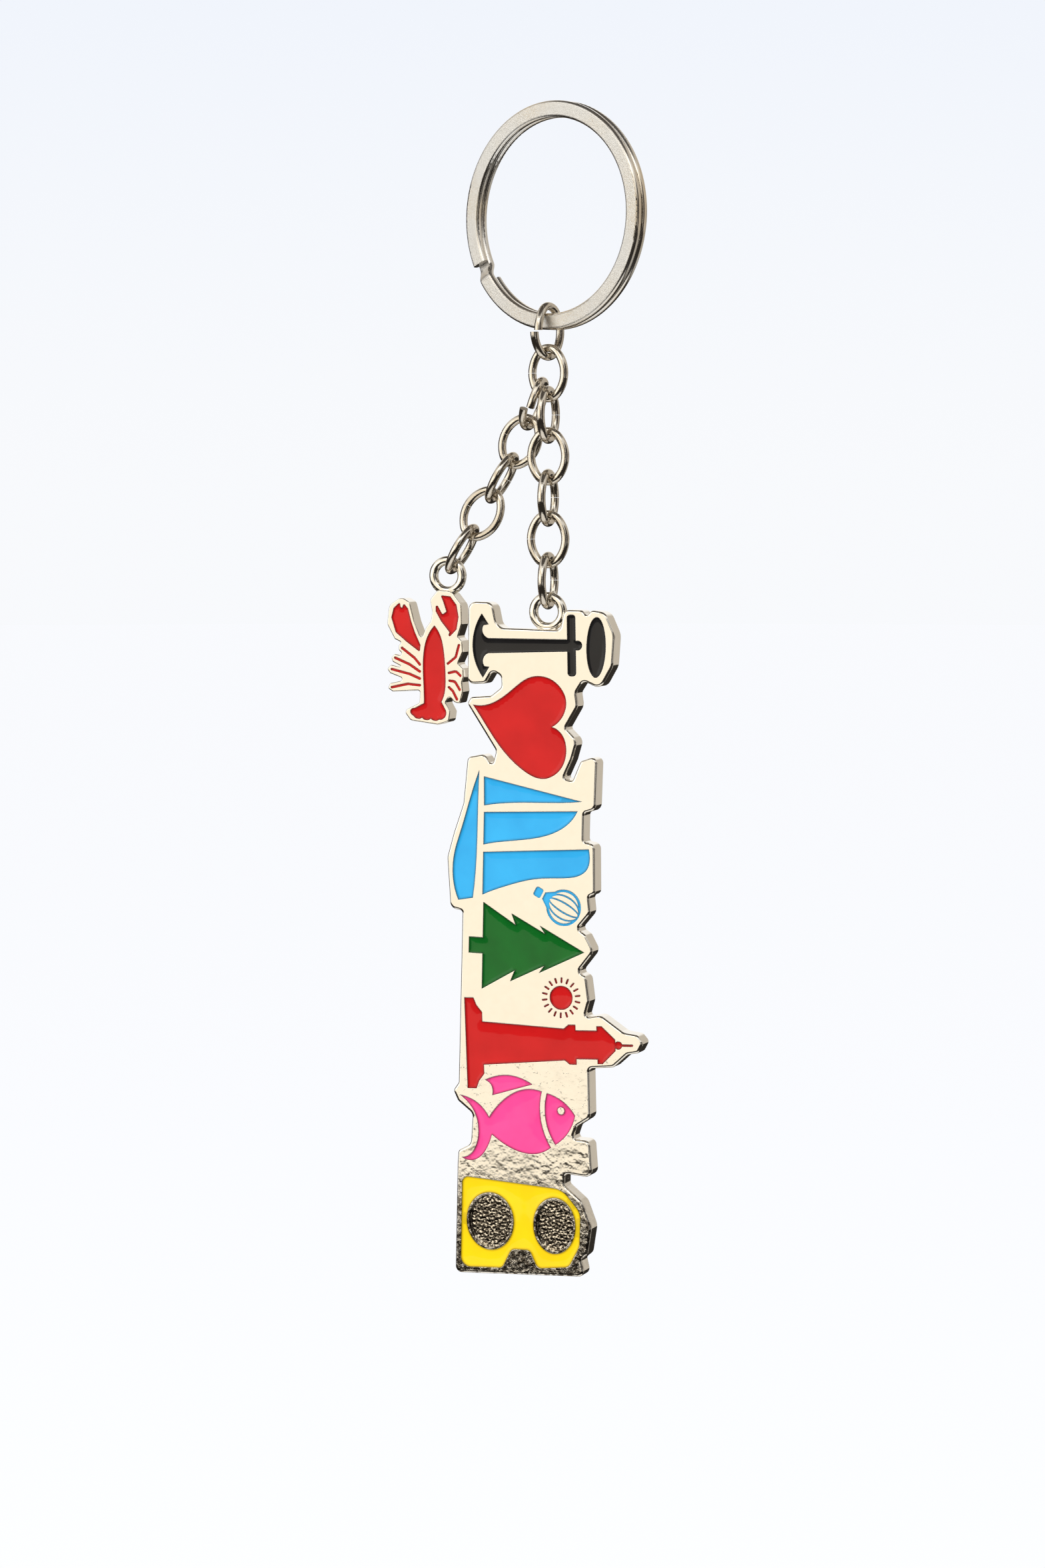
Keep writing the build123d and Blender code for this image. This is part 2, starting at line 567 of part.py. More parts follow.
CHARM_CELLS = [
    ("lobster_body_enamel", draw_lobster_body),
    ("lobster_claw_enamel", draw_claws),
    ("lobster_leg_enamel", draw_legs),
]

with BuildPart() as lobster_base:
    with BuildSketch(charm_plane()):
        add(draw_outline(CHARM_OUTLINE))
    extrude(amount=-CHARM_THICK)
    fillet(lobster_base.faces().filter_by(Axis.Y).edges(), CHARM_EDGE_R)
    with BuildSketch(lug_section(charm_lug)):
        Circle(LUG_WIRE_R)
    revolve(axis=Axis(charm_lug, (0, 1, 0)))
    for name, draw in CHARM_CELLS:
        with BuildSketch(charm_plane()):
            add(draw())
        extrude(amount=-RECESS, mode=Mode.SUBTRACT)
lobster_base.part.label = "lobster_base"
export_step(lobster_base.part, "parts/lobster_base.step")

for name, draw in CHARM_CELLS:
    with BuildPart() as enamel:
        with BuildSketch(charm_plane(RECESS)):
            add(draw())
        extrude(amount=RECESS - ENAMEL_SINK)
    enamel.part.label = name
    export_step(enamel.part, f"parts/{name}.step")
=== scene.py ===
"""Looks of the souvenir keychain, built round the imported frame. Metres, +Z up, origin at the hang point."""

import json
import math

import bpy
import bmesh
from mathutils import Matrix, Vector, geometry, kdtree


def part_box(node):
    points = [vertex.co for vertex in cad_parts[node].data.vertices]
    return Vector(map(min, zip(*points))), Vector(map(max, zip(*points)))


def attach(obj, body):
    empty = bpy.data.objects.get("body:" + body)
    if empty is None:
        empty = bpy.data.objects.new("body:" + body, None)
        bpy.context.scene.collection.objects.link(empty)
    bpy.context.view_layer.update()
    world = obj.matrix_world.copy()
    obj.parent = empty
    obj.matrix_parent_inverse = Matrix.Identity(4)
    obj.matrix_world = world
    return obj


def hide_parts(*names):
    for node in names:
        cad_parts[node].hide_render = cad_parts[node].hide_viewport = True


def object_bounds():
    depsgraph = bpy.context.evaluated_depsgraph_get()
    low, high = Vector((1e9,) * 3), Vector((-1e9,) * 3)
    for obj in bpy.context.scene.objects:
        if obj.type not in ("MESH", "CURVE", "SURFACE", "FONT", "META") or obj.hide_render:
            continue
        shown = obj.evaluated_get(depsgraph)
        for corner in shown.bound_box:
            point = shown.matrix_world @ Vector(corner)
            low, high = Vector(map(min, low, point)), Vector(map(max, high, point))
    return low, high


MM = 0.001

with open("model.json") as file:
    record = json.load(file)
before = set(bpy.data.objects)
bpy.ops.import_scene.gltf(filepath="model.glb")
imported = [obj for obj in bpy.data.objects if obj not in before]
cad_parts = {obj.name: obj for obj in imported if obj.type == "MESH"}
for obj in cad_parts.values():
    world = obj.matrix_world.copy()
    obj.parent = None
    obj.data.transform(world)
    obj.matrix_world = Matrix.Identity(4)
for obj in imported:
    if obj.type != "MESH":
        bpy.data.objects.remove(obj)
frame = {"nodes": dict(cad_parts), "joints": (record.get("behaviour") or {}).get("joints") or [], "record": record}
cad_low, cad_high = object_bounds()
nodes = frame["nodes"]
slots = {part["node"]: part["material_slot"] for part in frame["record"]["subparts"]}

# ---- places taken from the frame: fronts in metres, the goggles' middle in mm ----
PLAQUE_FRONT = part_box("plaque_base")[0][1]
LOBSTER_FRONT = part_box("lobster_base")[0][1]
GOGGLES_LOW, GOGGLES_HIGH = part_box("goggles_enamel")
GOGGLES_MIDDLE = (GOGGLES_LOW + GOGGLES_HIGH) / 2 / MM

# ---- ends of a range that rises or falls ----
RISING = (0.0, 1.0)
FALLING = (1.0, 0.0)


# =====================================================================================
# Shader node helpers
# =====================================================================================
def new_material(name):
    """Empty material with a Principled shader on its output."""
    material = bpy.data.materials.new(name)
    material.use_nodes = True
    tree = material.node_tree
    tree.nodes.clear()
    output = tree.nodes.new("ShaderNodeOutputMaterial")
    shader = tree.nodes.new("ShaderNodeBsdfPrincipled")
    tree.links.new(shader.outputs["BSDF"], output.inputs["Surface"])
    return material, tree, shader


def position(tree):
    """Object coordinates in millimetres, so that every pattern keeps its size."""
    coordinates = tree.nodes.new("ShaderNodeTexCoord")
    scale = tree.nodes.new("ShaderNodeVectorMath")
    scale.operation = "SCALE"
    scale.inputs["Scale"].default_value = 1 / MM
    tree.links.new(coordinates.outputs["Object"], scale.inputs[0])
    return scale.outputs["Vector"]


def separated(tree, vector):
    """The X, Y and Z of a vector socket."""
    axes = tree.nodes.new("ShaderNodeSeparateXYZ")
    tree.links.new(vector, axes.inputs["Vector"])
    return axes.outputs["X"], axes.outputs["Y"], axes.outputs["Z"]


def noise(tree, where, scale, detail=2.0, roughness=0.5, distortion=0.0):
    """Noise with scale in patterns to the millimetre."""
    texture = tree.nodes.new("ShaderNodeTexNoise")
    texture.inputs["Scale"].default_value = scale
    texture.inputs["Detail"].default_value = detail
    texture.inputs["Roughness"].default_value = roughness
    texture.inputs["Distortion"].default_value = distortion
    tree.links.new(where, texture.inputs["Vector"])
    return texture.outputs["Fac"]


def spread(tree, value, given, made, smooth=False):
    """Maps a value from the given range to the range made, and holds it at the ends."""
    node = tree.nodes.new("ShaderNodeMapRange")
    node.interpolation_type = "SMOOTHSTEP" if smooth else "LINEAR"
    node.clamp = True
    node.inputs["From Min"].default_value, node.inputs["From Max"].default_value = given
    node.inputs["To Min"].default_value, node.inputs["To Max"].default_value = made
    tree.links.new(value, node.inputs["Value"])
    return node.outputs["Result"]


def bump(tree, height, strength, distance, base=None):
    """Bump on top of a base normal; distance is in metres."""
    node = tree.nodes.new("ShaderNodeBump")
    node.inputs["Strength"].default_value = strength
    node.inputs["Distance"].default_value = distance
    tree.links.new(height, node.inputs["Height"])
    if base is not None:
        tree.links.new(base, node.inputs["Normal"])
    return node.outputs["Normal"]


def mix_colour(tree, factor, low, high):
    """Colour between low and high by a factor; low and high are colours or sockets."""
    node = tree.nodes.new("ShaderNodeMix")
    node.data_type = "RGBA"
    tree.links.new(factor, node.inputs["Factor"])
    for socket, value in ((node.inputs[6], low), (node.inputs[7], high)):
        if isinstance(value, tuple):
            socket.default_value = (*value, 1.0)
        else:
            tree.links.new(value, socket)
    return node.outputs[2]


def math_node(tree, operation, first, second=0.0):
    """One Math node on sockets or numbers."""
    node = tree.nodes.new("ShaderNodeMath")
    node.operation = operation
    for socket, value in zip(node.inputs, (first, second)):
        if isinstance(value, (int, float)):
            socket.default_value = value
        else:
            tree.links.new(value, socket)
    return node.outputs["Value"]


def product(tree, first, *others):
    """Product of sockets or numbers."""
    for other in others:
        first = math_node(tree, "MULTIPLY", first, other)
    return first


def along_direction(tree, vector, direction):
    """How far a unit vector socket points along a direction: 1 along it, 0 across it, -1 against it."""
    dot = tree.nodes.new("ShaderNodeVectorMath")
    dot.operation = "DOT_PRODUCT"
    tree.links.new(vector, dot.inputs[0])
    dot.inputs[1].default_value = direction
    return dot.outputs["Value"]


# =====================================================================================
# Cast nickel: the plaque and the lobster
# =====================================================================================
# Heights in mm between which each flaw of the plaque's lower end, and its painted shade, fade out upwards
PITTED_END = (-138.0, -122.0)
RIPPLED_END = (-145.0, -139.0)
SHADED_END = (-146.5, -141.5)

# Depths in mm behind the front face between which the flaws and the painted shade fade to their share on the side
# walls and back
FACE_DEPTHS = (0.1, 0.5)
SIDE_SHARE = 0.12

EDGE_ROUNDING = 0.10 * MM

# The goggles' lens wells, in mm: middle x and z from the goggles' middle, half width and half height; then
# how deep their floors lie, and the distances from a floor between which its sand and painted shade fade out
LENS_WELLS = [
    (-4.37, 0.29, 3.1, 3.6),
    (4.94, 0.29, 2.7, 3.5),
]
WELL_DEPTH = 0.75
SAND_AND_SHADE_FADE = (0.05, 0.10)


def well_floors(tree, where, floor_y):
    """1 on the floors of the lens wells, which get sand and painted shade, and 0 elsewhere; floor_y is their place
    in mm.
    """
    x, y, z = separated(tree, where)
    inside_any = 0.0
    for middle_x, middle_z, half_width, half_height in LENS_WELLS:
        across = math_node(tree, "SUBTRACT", x, GOGGLES_MIDDLE.x + middle_x)
        up = math_node(tree, "SUBTRACT", z, GOGGLES_MIDDLE.z + middle_z)
        across = product(tree, across, 1 / half_width)
        up = product(tree, up, 1 / half_height)
        radius = math_node(tree, "ADD", product(tree, across, across), product(tree, up, up))
        inside = spread(tree, radius, (0.98, 1.04), FALLING)
        inside_any = math_node(tree, "MAXIMUM", inside, inside_any)
    near, far = SAND_AND_SHADE_FADE
    not_before = spread(tree, y, (floor_y - far, floor_y - near), RISING)
    not_behind = spread(tree, y, (floor_y + near, floor_y + far), FALLING)
    return product(tree, inside_any, not_before, not_behind)


def sand_and_painted_shade(tree, where, sandy_and_shaded, normal, colour):
    """Coarse sand, and painted shade with specks of bright nickel left in it, where the mask is 1; gives the new
    normal and colour.
    """
    cells = tree.nodes.new("ShaderNodeTexVoronoi")
    cells.inputs["Scale"].default_value = 2.3
    tree.links.new(where, cells.inputs["Vector"])
    specks = product(tree, noise(tree, where, 3.4), 0.6)
    grain = math_node(tree, "ADD", cells.outputs["Distance"], specks)
    normal = bump(tree, product(tree, grain, sandy_and_shaded), strength=1.0, distance=0.028 * MM, base=normal)
    # Painted shade over the well floors, broken by specks of bright nickel that stand in for glints
    bare_specks = spread(tree, noise(tree, where, 3.0), (0.50, 0.58), RISING)
    painted_well_shade = mix_colour(tree, bare_specks, (0.13, 0.11, 0.09), (0.92, 0.86, 0.74))
    return normal, mix_colour(tree, sandy_and_shaded, colour, painted_well_shade)


def cast_nickel(name, front, sandy_shaded_wells=False):
    """Polished nickel plate over a casting: a gentle orange peel, and ripples, pits and mottled painted shade that
    come in towards the plaque's lower end and are faint on the side walls and the back."""
    material, tree, shader = new_material(name)
    where = position(tree)
    _, y, z = separated(tree, where)
    front_y = front / MM
    face = spread(tree, y, (front_y + FACE_DEPTHS[0], front_y + FACE_DEPTHS[1]), (1.0, SIDE_SHARE))

    rounded = tree.nodes.new("ShaderNodeBevel")
    rounded.samples = 6
    rounded.inputs["Radius"].default_value = EDGE_ROUNDING
    peel = noise(tree, where, 0.8)
    normal = bump(tree, peel, strength=0.35, distance=0.04 * MM, base=rounded.outputs["Normal"])
    ripples = noise(tree, where, 1.7, detail=4.0, roughness=0.62, distortion=0.6)
    rippled = product(tree, ripples, spread(tree, z, RIPPLED_END, FALLING, smooth=True), face)
    normal = bump(tree, rippled, strength=1.0, distance=0.012 * MM, base=normal)
    blotches = noise(tree, where, 2.6, detail=3.0, roughness=0.6, distortion=0.3)
    pits = spread(tree, blotches, (0.65, 0.73), RISING)
    pitted = product(tree, pits, spread(tree, z, PITTED_END, FALLING, smooth=True), face)
    normal = bump(tree, pitted, strength=1.0, distance=0.04 * MM, base=normal)

    colour = mix_colour(tree, peel, (0.90, 0.86, 0.78), (0.95, 0.915, 0.845))
    # Mottled painted shade that darkens the casting towards the plaque's lower end
    shade_mottle = spread(tree, noise(tree, where, 1.5, detail=3.0, roughness=0.6), (0.46, 0.56), RISING)
    painted_shade_share = product(tree, spread(tree, z, SHADED_END, FALLING, smooth=True), shade_mottle, face)
    colour = mix_colour(tree, painted_shade_share, colour, (0.20, 0.17, 0.14))
    # Sand and painted shade on the floors of the lens wells
    if sandy_shaded_wells:
        sandy_and_shaded = well_floors(tree, where, front_y + WELL_DEPTH)
        normal, colour = sand_and_painted_shade(tree, where, sandy_and_shaded, normal, colour)

    gloss = spread(tree, noise(tree, where, 0.35), (0.3, 0.7), (0.04, 0.08))
    tree.links.new(colour, shader.inputs["Base Color"])
    tree.links.new(gloss, shader.inputs["Roughness"])
    tree.links.new(normal, shader.inputs["Normal"])
    shader.inputs["Metallic"].default_value = 1.0
    return material


# =====================================================================================
# Wire of the links and of the ring
# =====================================================================================
def wire_nickel():
    """Polished nickel on drawn wire, slightly uneven, with a warmer tint in places."""
    material, tree, shader = new_material("wire_nickel")
    where = position(tree)
    patches = noise(tree, where, 0.5, detail=3.0, roughness=0.55)
    colour = mix_colour(tree, patches, (0.62, 0.55, 0.45), (0.84, 0.80, 0.73))
    gloss = spread(tree, noise(tree, where, 1.6, detail=3.0), (0.3, 0.75), (0.06, 0.20))
    normal = bump(tree, noise(tree, where, 2.4, detail=3.0, roughness=0.6), strength=0.35, distance=0.04 * MM)
    tree.links.new(colour, shader.inputs["Base Color"])
    tree.links.new(gloss, shader.inputs["Roughness"])
    tree.links.new(normal, shader.inputs["Normal"])
    shader.inputs["Metallic"].default_value = 1.0
    return material


def ring_facing():
    """Direction that the ring's flat faces look: level, and across the hinge line of the link on it."""
    top_joint = next(joint for joint in frame["joints"] if joint["child"] == "top_jump_link")
    hinge_line = Vector(top_joint["axis"]).normalized()
    return hinge_line.cross(Vector((0, 0, 1))).normalized()


def ring_steel():
    """Flat ring wire: satin, speckled flat faces, and polished rounded edges."""
    material, tree, shader = new_material("ring_steel")
    where = position(tree)
    coordinates = tree.nodes.new("ShaderNodeTexCoord")
    facing = along_direction(tree, coordinates.outputs["Normal"], ring_facing())
    flat = spread(tree, math_node(tree, "ABSOLUTE", facing), (0.86, 0.97), RISING, smooth=True)
    grain = noise(tree, where, 9.0, detail=3.0, roughness=0.65)
    patches = noise(tree, where, 0.11)

    polished = spread(tree, patches, (0.3, 0.7), (0.10, 0.16))
    satin = spread(tree, grain, (0.3, 0.7), (0.22, 0.34))
    gloss = math_node(tree, "ADD", polished, product(tree, flat, satin))
    tint_share = spread(tree, patches, (0.38, 0.62), RISING)
    tint = mix_colour(tree, tint_share, (0.80, 0.71, 0.58), (0.86, 0.85, 0.83))
    speckle = spread(tree, noise(tree, where, 7.0, detail=2.0, roughness=0.7), (0.35, 0.62), RISING)
    worn = mix_colour(tree, product(tree, speckle, flat), tint, (0.93, 0.92, 0.90))
    height = product(tree, grain, math_node(tree, "ADD", flat, 0.15))
    tree.links.new(worn, shader.inputs["Base Color"])
    tree.links.new(gloss, shader.inputs["Roughness"])
    tree.links.new(bump(tree, height, strength=0.8, distance=0.04 * MM), shader.inputs["Normal"])
    shader.inputs["Metallic"].default_value = 1.0
    return material


# =====================================================================================
# Enamel
# =====================================================================================
# Depths in mm below the metal between which the painted shade at a cell's rim gives way to its colour
PAINTED_SHADE_DEPTHS = (0.06, 0.17)
# Share of its colour that a cell keeps in the painted shade at its rim
PAINTED_RIM_SHADE = 0.30

# Each kind's colour, and the deeper colour that it drifts to
ENAMEL_COLOURS = {
    "black_enamel": ((0.009, 0.008, 0.008), (0.012, 0.011, 0.011)),
    "red_enamel": ((0.56, 0.006, 0.006), (0.49, 0.004, 0.004)),
    "dark_red_enamel": ((0.34, 0.008, 0.008), (0.28, 0.006, 0.006)),
    "blue_enamel": ((0.032, 0.41, 0.76), (0.026, 0.36, 0.70)),
    "green_enamel": ((0.001, 0.12, 0.010), (0.001, 0.095, 0.008)),
    "pink_enamel": ((0.95, 0.070, 0.29), (0.90, 0.055, 0.26)),
    "yellow_enamel": ((0.95, 0.66, 0.003), (0.92, 0.60, 0.003)),
}


def enamel(name, colour, deep, front):
    """Glossy poured enamel: a clear skin over a slightly uneven colour, darker where it climbs its wall, in
    painted shade from the wall and the deeper colour of thicker enamel.
    """
    material, tree, shader = new_material(name)
    where = position(tree)
    _, y, _ = separated(tree, where)
    front_y = front / MM
    drift = spread(tree, noise(tree, where, 0.22), (0.35, 0.7), RISING)
    clear_of_rim_shade = spread(tree, y, (front_y + PAINTED_SHADE_DEPTHS[0], front_y + PAINTED_SHADE_DEPTHS[1]), RISING)
    # Painted shade: the cell's colour darkened near the wall, where the enamel climbs it
    painted_rim_shade = tuple(value * PAINTED_RIM_SHADE for value in colour)
    body = mix_colour(tree, clear_of_rim_shade, painted_rim_shade, mix_colour(tree, drift, colour, deep))
    gloss = spread(tree, noise(tree, where, 1.2), (0.3, 0.7), (0.30, 0.40))
    ripple = bump(tree, noise(tree, where, 0.4, detail=1.0), strength=0.25, distance=0.06 * MM)
    tree.links.new(body, shader.inputs["Base Color"])
    tree.links.new(gloss, shader.inputs["Roughness"])
    tree.links.new(ripple, shader.inputs["Normal"])
    tree.links.new(ripple, shader.inputs["Coat Normal"])
    shader.inputs["Coat Weight"].default_value = 0.45
    shader.inputs["Coat Roughness"].default_value = 0.04
    shader.inputs["Specular IOR Level"].default_value = 0.1
    return material


# =====================================================================================
# Finish of every CAD node
# =====================================================================================
PLAQUE_METAL = cast_nickel("plaque_nickel", PLAQUE_FRONT, sandy_shaded_wells=True)
CHARM_METAL = cast_nickel("charm_nickel", LOBSTER_FRONT)
WIRE_METAL = wire_nickel()
RING_METAL = ring_steel()
ENAMELS = {kind: enamel(kind, *colours, PLAQUE_FRONT) for kind, colours in ENAMEL_COLOURS.items()}
CHARM_RED = enamel("charm_red_enamel", *ENAMEL_COLOURS["red_enamel"], LOBSTER_FRONT)


def finish_of(name):
    """The material of a CAD node, from its slot in the record."""
    kind = slots[name]
    if kind == "ring_steel":
        return RING_METAL
    if kind == "chain_nickel":
        return WIRE_METAL
    if kind == "cast_nickel":
        return PLAQUE_METAL if name == "plaque_base" else CHARM_METAL
    if name.startswith("lobster"):
        return CHARM_RED
    return ENAMELS[kind]


for node_name, node in nodes.items():
    for material_slot in node.material_slots:
        material_slot.material = finish_of(node_name)


# =====================================================================================
# Poured enamel: each cell dips in the middle and climbs its metal wall
# =====================================================================================
CELL_DEPTH = 0.60 * MM
EDGE_LEVEL = 0.03 * MM
MIDDLE_LEVEL = 0.26 * MM

# The front is made from spots: along the outline, in rows that follow it at these offsets, and on a grid
OUTLINE_STEP = 0.22 * MM
ROW_OFFSETS = (0.07 * MM, 0.16 * MM, 0.29 * MM, 0.47 * MM)
GRID_STEP = 0.42 * MM

# Shares of a row's offset that its spots keep from the outline and from the earlier rows
ROW_CLEARANCE = 0.93
ROW_SPACING = 0.45

# Step of the finer outline from which depths are measured
MEASURING_STEP = 0.04 * MM

# The climb to the wall is a steep curve and a gentle one: the share of each, and how far it reaches
STEEP_CLIMB = (0.55, 0.17 * MM)
GENTLE_CLIMB = (0.45, 0.75 * MM)

# Y of a face's normal below which the face belongs to a node's front, or below which it is shaded smooth
LOOKS_FORWARD = -0.9
SMOOTH_FORWARD = -0.5

MERGE_DISTANCE = 1e-7
TRIANGLE_TOLERANCE = 1e-9


def front_loops(mesh):
    """Outlines of the faces that look to -Y, as loops of (x, z) points with the faces on one side."""
    work = bmesh.new()
    work.from_mesh(mesh)
    bmesh.ops.remove_doubles(work, verts=work.verts, dist=MERGE_DISTANCE)
    work.normal_update()
    following = {}
    for face in work.faces:
        if face.normal.y > LOOKS_FORWARD:
            continue
        for loop in face.loops:
            neighbours = loop.edge.link_faces
            if all(other is face or other.normal.y > LOOKS_FORWARD for other in neighbours):
                following.setdefault(loop.vert.index, []).append(loop.link_loop_next.vert.index)
    spots = {vertex.index: Vector((vertex.co.x, vertex.co.z)) for vertex in work.verts}
    work.free()
    loops = []
    while following:
        start = min(following)
        loop = [start]
        while True:
            choices = following[loop[-1]]
            step = choices.pop()
            if not choices:
                del following[loop[-1]]
            if step == start:
                break
            loop.append(step)
        loops.append([spots[index] for index in loop])
    return loops


def resampled(loop, step):
    """The same loop with no side longer than step."""
    points = []
    for here, there in zip(loop, loop[1:] + loop[:1]):
        parts = max(1, math.ceil((there - here).length / step))
        points += [here.lerp(there, part / parts) for part in range(parts)]
    return points


def loop_sides(loops):
    """The sides of the loops, as pairs of point numbers that run on from loop to loop."""
    sides = []
    first = 0
    for loop in loops:
        sides += [(first + i, first + (i + 1) % len(loop)) for i in range(len(loop))]
        first += len(loop)
    return sides


def inside_loops(point, loops):
    """Whether a point is inside the outline, holes counted out."""
    crossings = 0
    for loop in loops:
        for here, there in zip(loop, loop[1:] + loop[:1]):
            if (here.y > point.y) != (there.y > point.y):
                if point.x < here.x + (point.y - here.y) / (there.y - here.y) * (there.x - here.x):
                    crossings += 1
    return crossings % 2 == 1


def distance_finder(spots):
    """A function that gives the distance from a point to the nearest of these spots."""
    tree = kdtree.KDTree(len(spots))
    for index, spot in enumerate(spots):
        tree.insert((spot.x, spot.y, 0), index)
    tree.balance()

    def distance(point):
        nearest = tree.find((point.x, point.y, 0))[2]
        return math.inf if nearest is None else nearest

    return distance


def row_spots(outline, loops, depth_at):
    """Spots in rows that follow the outline, on its inner side."""
    spots = []
    for offset in ROW_OFFSETS:
        distance_to_earlier = distance_finder(spots)
        row = []
        for loop in outline:
            for before, here, after in zip(loop[-1:] + loop[:-1], loop, loop[1:] + loop[:1]):
                along = (after - before).normalized()
                for way in (1, -1):
                    spot = here + Vector((along.y, -along.x)) * offset * way
                    if depth_at(spot) > offset * ROW_CLEARANCE and inside_loops(spot, loops):
                        if distance_to_earlier(spot) > offset * ROW_SPACING:
                            row.append(spot)
        spots += row
    return spots


def grid_spots(outline, loops, depth_at):
    """Spots on a staggered grid over the middle of the cell, clear of the rows."""
    xs = [spot.x for loop in outline for spot in loop]
    zs = [spot.y for loop in outline for spot in loop]
    clear = ROW_OFFSETS[-1] + GRID_STEP * 0.5
    spots = []
    for row in range(int((max(zs) - min(zs)) / GRID_STEP) + 1):
        for column in range(int((max(xs) - min(xs)) / GRID_STEP) + 1):
            shifted = column + (row % 2) / 2
            spot = Vector((min(xs) + shifted * GRID_STEP, min(zs) + row * GRID_STEP))
            if depth_at(spot) > clear and inside_loops(spot, loops):
                spots.append(spot)
    return spots


def filled(spots, sides, loops):
    """Triangles over the spots that lie inside the outline, as triples of indices."""
    made = geometry.delaunay_2d_cdt(spots, sides, [], 0, TRIANGLE_TOLERANCE)
    corners, triangles, sources = made[0], made[2], made[3]
    kept = []
    for triangle in triangles:
        middle = sum((corners[i] for i in triangle), Vector((0, 0))) / 3
        if inside_loops(middle, loops):
            kept.append(tuple(sources[i][0] for i in triangle))
    return kept


def poured_level(depth):
    """How far below the metal the enamel lies at a distance from its wall."""
    climb = sum(share * math.exp(-depth / reach) for share, reach in (STEEP_CLIMB, GENTLE_CLIMB))
    return MIDDLE_LEVEL - (MIDDLE_LEVEL - EDGE_LEVEL) * climb


def closed_mesh(name, vertices, faces):
    """A mesh whose normals look outwards, smooth over the faces that look forward."""
    mesh = bpy.data.meshes.new(name)
    mesh.from_pydata(vertices, [], faces)
    body = bmesh.new()
    body.from_mesh(mesh)
    bmesh.ops.recalc_face_normals(body, faces=body.faces)
    for face in body.faces:
        face.smooth = face.normal.y < SMOOTH_FORWARD
    body.to_mesh(mesh)
    body.free()
    return mesh


def dished_enamel(node_name, front):
    """A closed body for an enamel node, whose front dips away from its outline."""
    loops = front_loops(nodes[node_name].data)
    outline = [resampled(loop, OUTLINE_STEP) for loop in loops]
    sides = loop_sides(outline)
    edge = [spot for loop in outline for spot in loop]
    depth_at = distance_finder([spot for loop in loops for spot in resampled(loop, MEASURING_STEP)])
    inner = row_spots(outline, loops, depth_at) + grid_spots(outline, loops, depth_at)

    vertices = [(spot.x, front + EDGE_LEVEL, spot.y) for spot in edge]
    vertices += [(spot.x, front + poured_level(depth_at(spot)), spot.y) for spot in inner]
    first_back = len(vertices)
    vertices += [(spot.x, front + CELL_DEPTH, spot.y) for spot in edge]
    faces = filled(edge + inner, sides, loops)
    faces += [tuple(first_back + i for i in reversed(triangle)) for triangle in filled(edge, sides, loops)]
    faces += [(b, a, first_back + a, first_back + b) for a, b in sides]

    mesh = closed_mesh(node_name + "_poured", vertices, faces)
    mesh.materials.append(finish_of(node_name))
    piece = bpy.data.objects.new(node_name + "_poured", mesh)
    bpy.context.scene.collection.objects.link(piece)
    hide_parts(node_name)
    return piece


PLAQUE_CELLS = [
    "anchor_enamel", "float_enamel", "heart_enamel", "sailboat_enamel", "pine_enamel", "sun_enamel",
    "lighthouse_enamel", "fish_enamel", "goggles_enamel",
]
LOBSTER_CELLS = ["lobster_body_enamel", "lobster_claw_enamel"]
for cell in PLAQUE_CELLS:
    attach(dished_enamel(cell, PLAQUE_FRONT), "plaque")
for cell in LOBSTER_CELLS:
    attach(dished_enamel(cell, LOBSTER_FRONT), "lobster")


# =====================================================================================
# Camera
# =====================================================================================
CAMERA_AT = Vector((0.1733, -0.4610, -0.0462))
CAMERA_AZIMUTH = math.radians(21.0)
CAMERA_PITCH = math.radians(4.866)
LENS_LENGTH = 84.69
SENSOR_WIDTH = 36.0
CLIP_RANGE = (0.01, 30.0)


def set_camera():
    """Camera to the right of the front, looking slightly down."""
    data = bpy.data.cameras.new("camera")
    data.sensor_width = SENSOR_WIDTH
    data.lens = LENS_LENGTH
    data.clip_start, data.clip_end = CLIP_RANGE
    camera = bpy.data.objects.new("camera", data)
    bpy.context.scene.collection.objects.link(camera)
    look = Vector((
        -math.sin(CAMERA_AZIMUTH) * math.cos(CAMERA_PITCH),
        math.cos(CAMERA_AZIMUTH) * math.cos(CAMERA_PITCH),
        -math.sin(CAMERA_PITCH),
    ))
    camera.location = CAMERA_AT
    camera.rotation_mode = "QUATERNION"
    camera.rotation_quaternion = look.to_track_quat("-Z", "Y")
    bpy.context.scene.camera = camera


set_camera()
bpy.context.scene.view_settings.view_transform = "Standard"


# =====================================================================================
# Floor
# =====================================================================================
FLOOR_DROP = 0.16
FLOOR_RADIUS = 6.0
FLOOR_GREY = (0.22, 0.22, 0.22, 1)
FLOOR_GLOW = (0.96, 0.97, 1.0, 1)
FLOOR_GLOW_STRENGTH = 0.807


def pale_floor():
    """A wide pale disc below the object, as light as the backdrop and left out of reflections."""
    mesh = bpy.data.meshes.new("floor")
    disc = bmesh.new()
    bmesh.ops.create_circle(disc, cap_ends=True, radius=FLOOR_RADIUS, segments=96)
    disc.to_mesh(mesh)
    disc.free()
    floor = bpy.data.objects.new("floor", mesh)
    bpy.context.scene.collection.objects.link(floor)
    floor.location = (0, 0, cad_low.z - FLOOR_DROP)
    material, _, shader = new_material("floor_paper")
    shader.inputs["Base Color"].default_value = FLOOR_GREY
    shader.inputs["Roughness"].default_value = 0.9
    shader.inputs["Specular IOR Level"].default_value = 0.0
    shader.inputs["Emission Color"].default_value = FLOOR_GLOW
    shader.inputs["Emission Strength"].default_value = FLOOR_GLOW_STRENGTH
    mesh.materials.append(material)
    floor.visible_glossy = False
    return floor


pale_floor()


